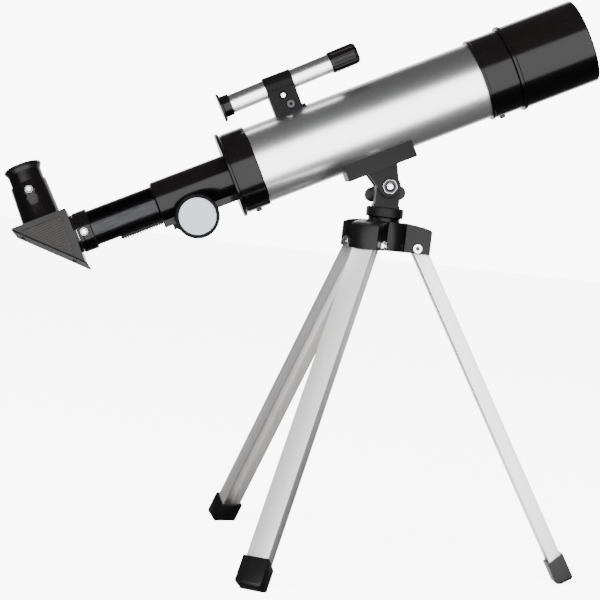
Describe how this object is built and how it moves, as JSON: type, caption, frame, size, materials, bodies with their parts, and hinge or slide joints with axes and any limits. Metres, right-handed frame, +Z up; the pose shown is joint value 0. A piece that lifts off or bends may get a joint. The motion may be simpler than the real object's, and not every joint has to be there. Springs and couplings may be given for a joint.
{
  "type": "telescope on tripod",
  "caption": "Small refracting telescope with a finder, a star diagonal and a rack focuser on a folding tabletop tripod.",
  "frame": {"origin": "on the floor, directly under the pan axis", "axes": "+Z up; +X the level direction the tube points in; +Y to the left of the tube, seen from the eyepiece; the tilt axis is along Y"},
  "size_m": [0.4587, 0.3112, 0.4376],
  "materials": {
    "tube_paint": "satin",
    "black_plastic": "gloss",
    "head_plastic": "satin",
    "flat_black": "matte",
    "soft_rubber": "matte",
    "lens_glass": "clear",
    "bright_metal": "polished",
    "leg_aluminium": "satin",
    "black_steel": "satin",
    "fastener_steel": "satin",
    "pale_disc": "satin",
    "mirror_glass": "polished",
    "draw_metal": "anodised satin"
  },
  "bodies": {
    "tripod": {"tripod_hub": "head_plastic", "leg_bolts": "bright_metal", "leg_nuts": "bright_metal"},
    "front_leg": {"leg_front": "leg_aluminium", "foot_front": "soft_rubber"},
    "right_leg": {"leg_right": "leg_aluminium", "foot_right": "soft_rubber"},
    "rear_leg": {"leg_rear": "leg_aluminium", "foot_rear": "soft_rubber"},
    "head": {"pan_yoke": "head_plastic", "pan_bolt": "fastener_steel"},
    "clamp_knob": {"tilt_knob": "head_plastic"},
    "shield": {"dew_shield": "black_plastic"},
    "pinion": {"focus_pinion": "fastener_steel", "focus_knob_near": "black_plastic", "focus_knob_far": "black_plastic", "knob_caps": "pale_disc"},
    "drawtube": {"draw_tube": "draw_metal", "focus_rack": "head_plastic", "draw_tube_collar": "black_plastic"},
    "collar_screw": {"collar_thumbscrew": "bright_metal"},
    "diagonal": {"diagonal_housing": "head_plastic", "diagonal_barrel": "bright_metal", "diagonal_mirror": "mirror_glass", "diagonal_cover_plate": "black_plastic", "cover_plate_screws": "black_steel", "diagonal_panels": "head_plastic"},
    "eyepiece_screw": {"eyepiece_thumbscrew": "bright_metal"},
    "eyepiece": {"eyepiece_barrel": "bright_metal", "eyepiece_body": "black_plastic", "eyecup": "soft_rubber", "eye_lens": "lens_glass", "field_lens": "lens_glass", "field_stop": "flat_black"},
    "finder_front": {"finder_focus_ring": "black_plastic", "finder_objective": "lens_glass"},
    "tube": {"main_tube": "tube_paint", "light_baffle": "flat_black", "rear_cell": "black_plastic", "rear_cell_screws": "black_steel", "front_cell": "black_plastic", "front_cell_screws": "black_steel", "objective_front_lens": "lens_glass", "objective_rear_lens": "lens_glass", "lens_spacer": "flat_black", "lens_retaining_ring": "black_plastic", "focuser_housing": "black_plastic", "pinion_cover": "black_plastic", "pinion_cover_screws": "fastener_steel", "finder_tube": "tube_paint", "finder_eyecup": "black_plastic", "finder_eye_lens": "lens_glass", "finder_bracket": "black_plastic", "finder_clamp_screw": "bright_metal", "finder_bracket_nut": "black_steel", "finder_bracket_screw": "fastener_steel", "tube_saddle": "head_plastic", "saddle_screws": "fastener_steel", "tilt_bolt": "bright_metal", "tilt_nut": "bright_metal"}
  },
  "joints": [
    {"name": "pan", "type": "hinge", "parent": "tripod", "child": "head", "pos_m": [0, 0, 0.262], "axis": [0, 0, 1], "continuous": true},
    {"name": "tilt", "type": "hinge", "parent": "head", "child": "tube", "pos_m": [0, 0, 0.285], "axis": [0, -1, 0], "range_deg": [-42, 32]},
    {"name": "tilt_knob_turn", "type": "hinge", "parent": "tube", "child": "clamp_knob", "pos_m": [0, 0.017, 0.285], "axis": [0, 1, 0], "range_deg": [-720, 0]},
    {"name": "shield_slide", "type": "slide", "parent": "tube", "child": "shield", "axis": [0.8886, 0, 0.4586], "range_m": [0, 0.007]},
    {"name": "focus", "type": "slide", "parent": "tube", "child": "drawtube", "axis": [0.8886, 0, 0.4586], "range_m": [-0.024, 0.038]},
    {"name": "pinion_turn", "type": "hinge", "parent": "tube", "child": "pinion", "pos_m": [-0.13933, 0, 0.24752], "axis": [0, 1, 0], "range_deg": [-460, 728]},
    {"name": "collar_screw_travel", "type": "slide", "parent": "drawtube", "child": "collar_screw", "axis": [0, -1, 0], "range_m": [0, 0.002]},
    {"name": "diagonal_turn", "type": "hinge", "parent": "drawtube", "child": "diagonal", "pos_m": [-0.24428, 0, 0.21473], "axis": [0.8886, 0, 0.4586], "range_deg": [-77, 103]},
    {"name": "eyepiece_screw_travel", "type": "slide", "parent": "diagonal", "child": "eyepiece_screw", "axis": [-0.1032, -0.9744, 0.1999], "range_m": [0, 0.002]},
    {"name": "eyepiece_slide", "type": "slide", "parent": "diagonal", "child": "eyepiece", "axis": [-0.4469, 0.225, 0.8658], "range_m": [0, 0.02]},
    {"name": "finder_focus", "type": "slide", "parent": "tube", "child": "finder_front", "axis": [0.8755, 0, 0.4833], "range_m": [0, 0.004]},
    {"name": "front_leg_fold", "type": "hinge", "parent": "tripod", "child": "front_leg", "pos_m": [-0.01221, -0.02296, 0.2414], "axis": [0.8829, -0.4695, 0], "range_deg": [0, 30]},
    {"name": "right_leg_fold", "type": "hinge", "parent": "tripod", "child": "right_leg", "pos_m": [0.02598, 0.00091, 0.2414], "axis": [-0.0349, 0.9994, 0], "range_deg": [0, 30]},
    {"name": "rear_leg_fold", "type": "hinge", "parent": "tripod", "child": "rear_leg", "pos_m": [-0.01378, 0.02205, 0.2414], "axis": [-0.848, -0.5299, 0], "range_deg": [0, 30]}
  ],
  "couplings": [
    {"joint": "pinion_turn", "follows": "focus", "rad_per_m": 333.33}
  ]
}
